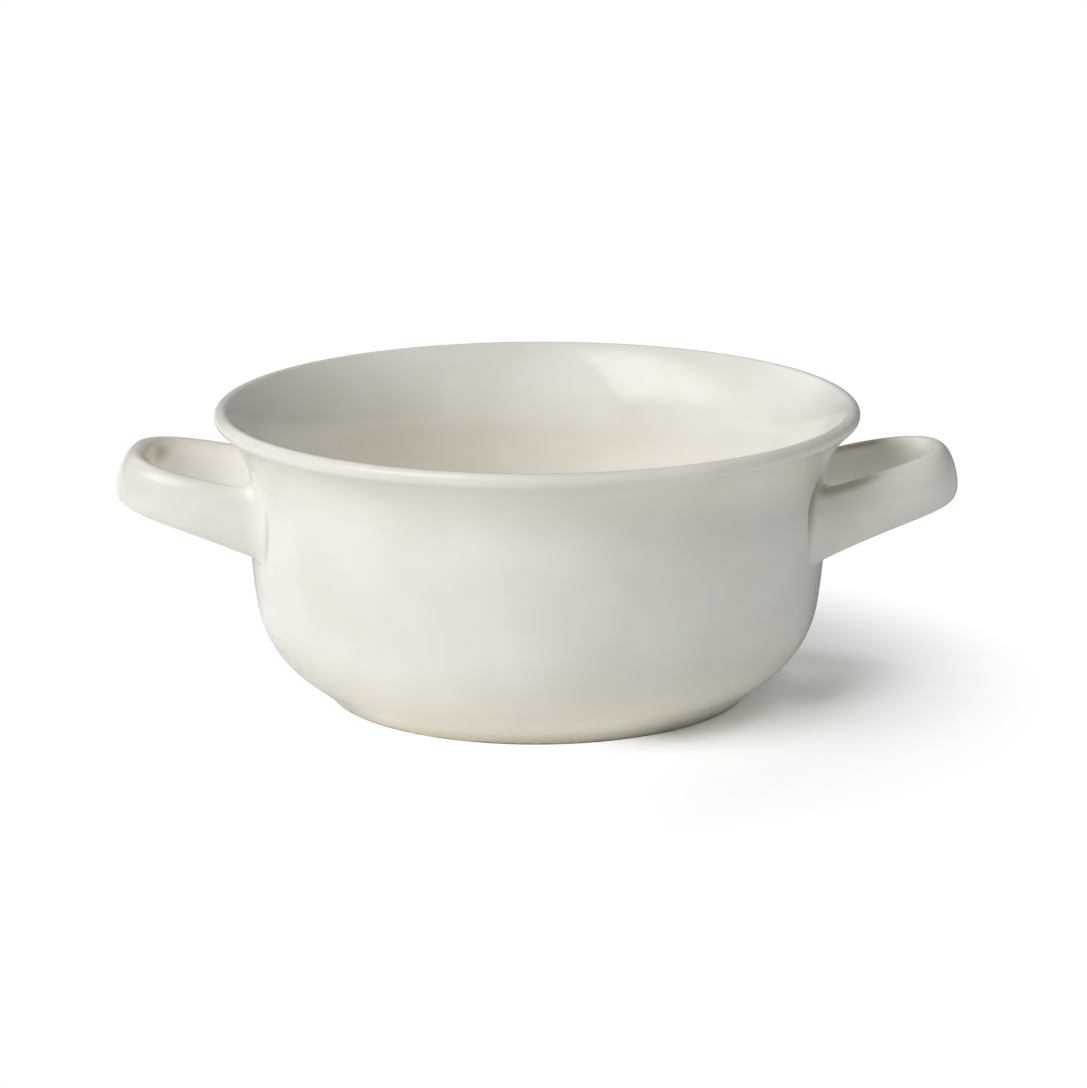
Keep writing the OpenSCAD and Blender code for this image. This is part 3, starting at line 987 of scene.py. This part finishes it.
def graded_grey_card():
    material = new_material("graded_grey_card")
    tree = material.node_tree
    place = add_node(tree, "ShaderNodeTexCoord").outputs["Object"]
    clear = add_node(tree, "ShaderNodeBsdfTransparent")
    dark = add_node(tree, "ShaderNodeEmission", {"Color": grey(1.0), "Strength": CARD_GREY})
    shader = add_node(tree, "ShaderNodeMixShader",
                      {0: card_share(tree, place), 1: clear, 2: dark})
    add_node(tree, "ShaderNodeOutputMaterial", {"Surface": shader})
    return material


card_edge = ((CARD_IN, CARD_LIFT), (CARD_R, CARD_LIFT), (CARD_R, CARD_H))
card_points = [(r * math.cos(a), r * math.sin(a), z)
               for a in np.linspace(*CARD_TURN, CARD_CORNERS) for r, z in card_edge]
card_faces = [(3 * i + j, 3 * i + j + 3, 3 * i + j + 4, 3 * i + j + 1)
              for i in range(CARD_CORNERS - 1) for j in (0, 1)]
card = make_thing("grey_card", card_points, card_faces, graded_grey_card())
card.visible_camera = card.visible_diffuse = card.visible_shadow = False
card.visible_transmission = card.visible_volume_scatter = False

# %% [markdown]
# ## Light
#
# The light is painted into the world round the scene, because a light at infinity lights the
# whole paper evenly. Each panel is a patch of sky between two azimuths and two elevations, with
# soft edges. The key is a very large softbox at the front left: it makes the left side bright,
# lets the right side fall into a gentle grey, and lays the wide, blurred shadow to the right. A
# large one high over the front fills the mouth and the floor, a weak one lifts the right side,
# and another stands behind. No light comes from the rest of the room.
#
# The gloss mirrors a different sky, which Light Path's Is Glossy Ray chooses. Patches with clear
# ends would show as hard shapes in the glaze, and the photograph shows only a soft pale patch in
# the mouth and a faint sheen on lip and straps. So the mirrored key is wider and softer, and it
# reaches higher, and the room round it is dim. A panel of negative strength is a black flag: it
# takes the room's light away on the right and behind, which gives the inside of the left wall
# and the right handle their darker side.

# %% Panels of light
# Azimuth of the middle, then where the panel rises and falls, all in degrees from there,
# then the elevations where it rises and falls, and the strength
PANELS = [(-138, (-40, -17), (17, 34), (15, 25), (40, 55), 6.5),
          (-30, (-33, -17), (17, 33), (55, 65), (80, 88), 4.0),
          (-8, (-33, -17), (17, 33), (15, 25), (40, 55), 0.98),
          (120, (-33, -17), (17, 33), (15, 25), (40, 55), 2.44)]
ROOM = 0.0
SHEEN = [(-156, (-44, -4), (24, 35), (16, 38), (62, 86), 3.5),
         (70, (-35, -15), (15, 35), (-15, 0), (35, 60), -0.27),
         (110, (-20, 5), (10, 30), (15, 30), (45, 65), 0.8)]
SHEEN_ROOM = 0.3


def panel(tree, direction, climb, settings):
    """The strength of one panel in a direction: its peak inside, and nothing outside."""
    middle, rise, fall, low, high, strength = settings
    turn = azimuth_from(tree, direction, math.radians(middle))
    for value, edge, first in ((turn, rise, 0), (turn, fall, 1), (climb, low, 0), (climb, high, 1)):
        eased = add_node(tree, "ShaderNodeMapRange",
                         EASED | {"Value": value, "From Min": math.radians(edge[0]),
                                  "From Max": math.radians(edge[1]),
                                  "To Min": first, "To Max": 1 - first})
        strength = add_node(tree, "ShaderNodeMath", {"operation": "MULTIPLY", 0: eased, 1: strength})
    return strength


def all_panels(tree, direction, climb, panels, room):
    """The room's light with all the panels added to it."""
    total = room
    for settings in panels:
        total = add_node(tree, "ShaderNodeMath",
                         {"operation": "ADD", 0: panel(tree, direction, climb, settings), 1: total})
    return total


print("panels that light the crock:", len(PANELS), "and panels that it mirrors:", len(SHEEN))

# %% Paint the panels into the world
MIX_A, MIX_B = 2, 3


def make_world():
    world = bpy.data.worlds.new("studio")
    world.use_nodes = True
    tree = world.node_tree
    tree.nodes.clear()
    direction = add_node(tree, "ShaderNodeTexCoord").outputs["Generated"]
    height = add_node(tree, "ShaderNodeSeparateXYZ", {"Vector": direction}).outputs["Z"]
    climb = add_node(tree, "ShaderNodeMath", {"operation": "ARCSINE", 0: height})
    gloss = add_node(tree, "ShaderNodeLightPath").outputs["Is Glossy Ray"]
    total = add_node(tree, "ShaderNodeMix",
                     {"data_type": "FLOAT", 0: gloss,
                      MIX_A: all_panels(tree, direction, climb, PANELS, ROOM),
                      MIX_B: all_panels(tree, direction, climb, SHEEN, SHEEN_ROOM)})
    sky = add_node(tree, "ShaderNodeBackground", {"Color": grey(1.0), "Strength": total})
    add_node(tree, "ShaderNodeOutputWorld", {"Surface": sky})
    return world


bpy.context.scene.world = make_world()
bpy.context.scene.view_settings.view_transform = "Standard"
print("the studio's light is made of", len(bpy.context.scene.world.node_tree.nodes), "nodes")
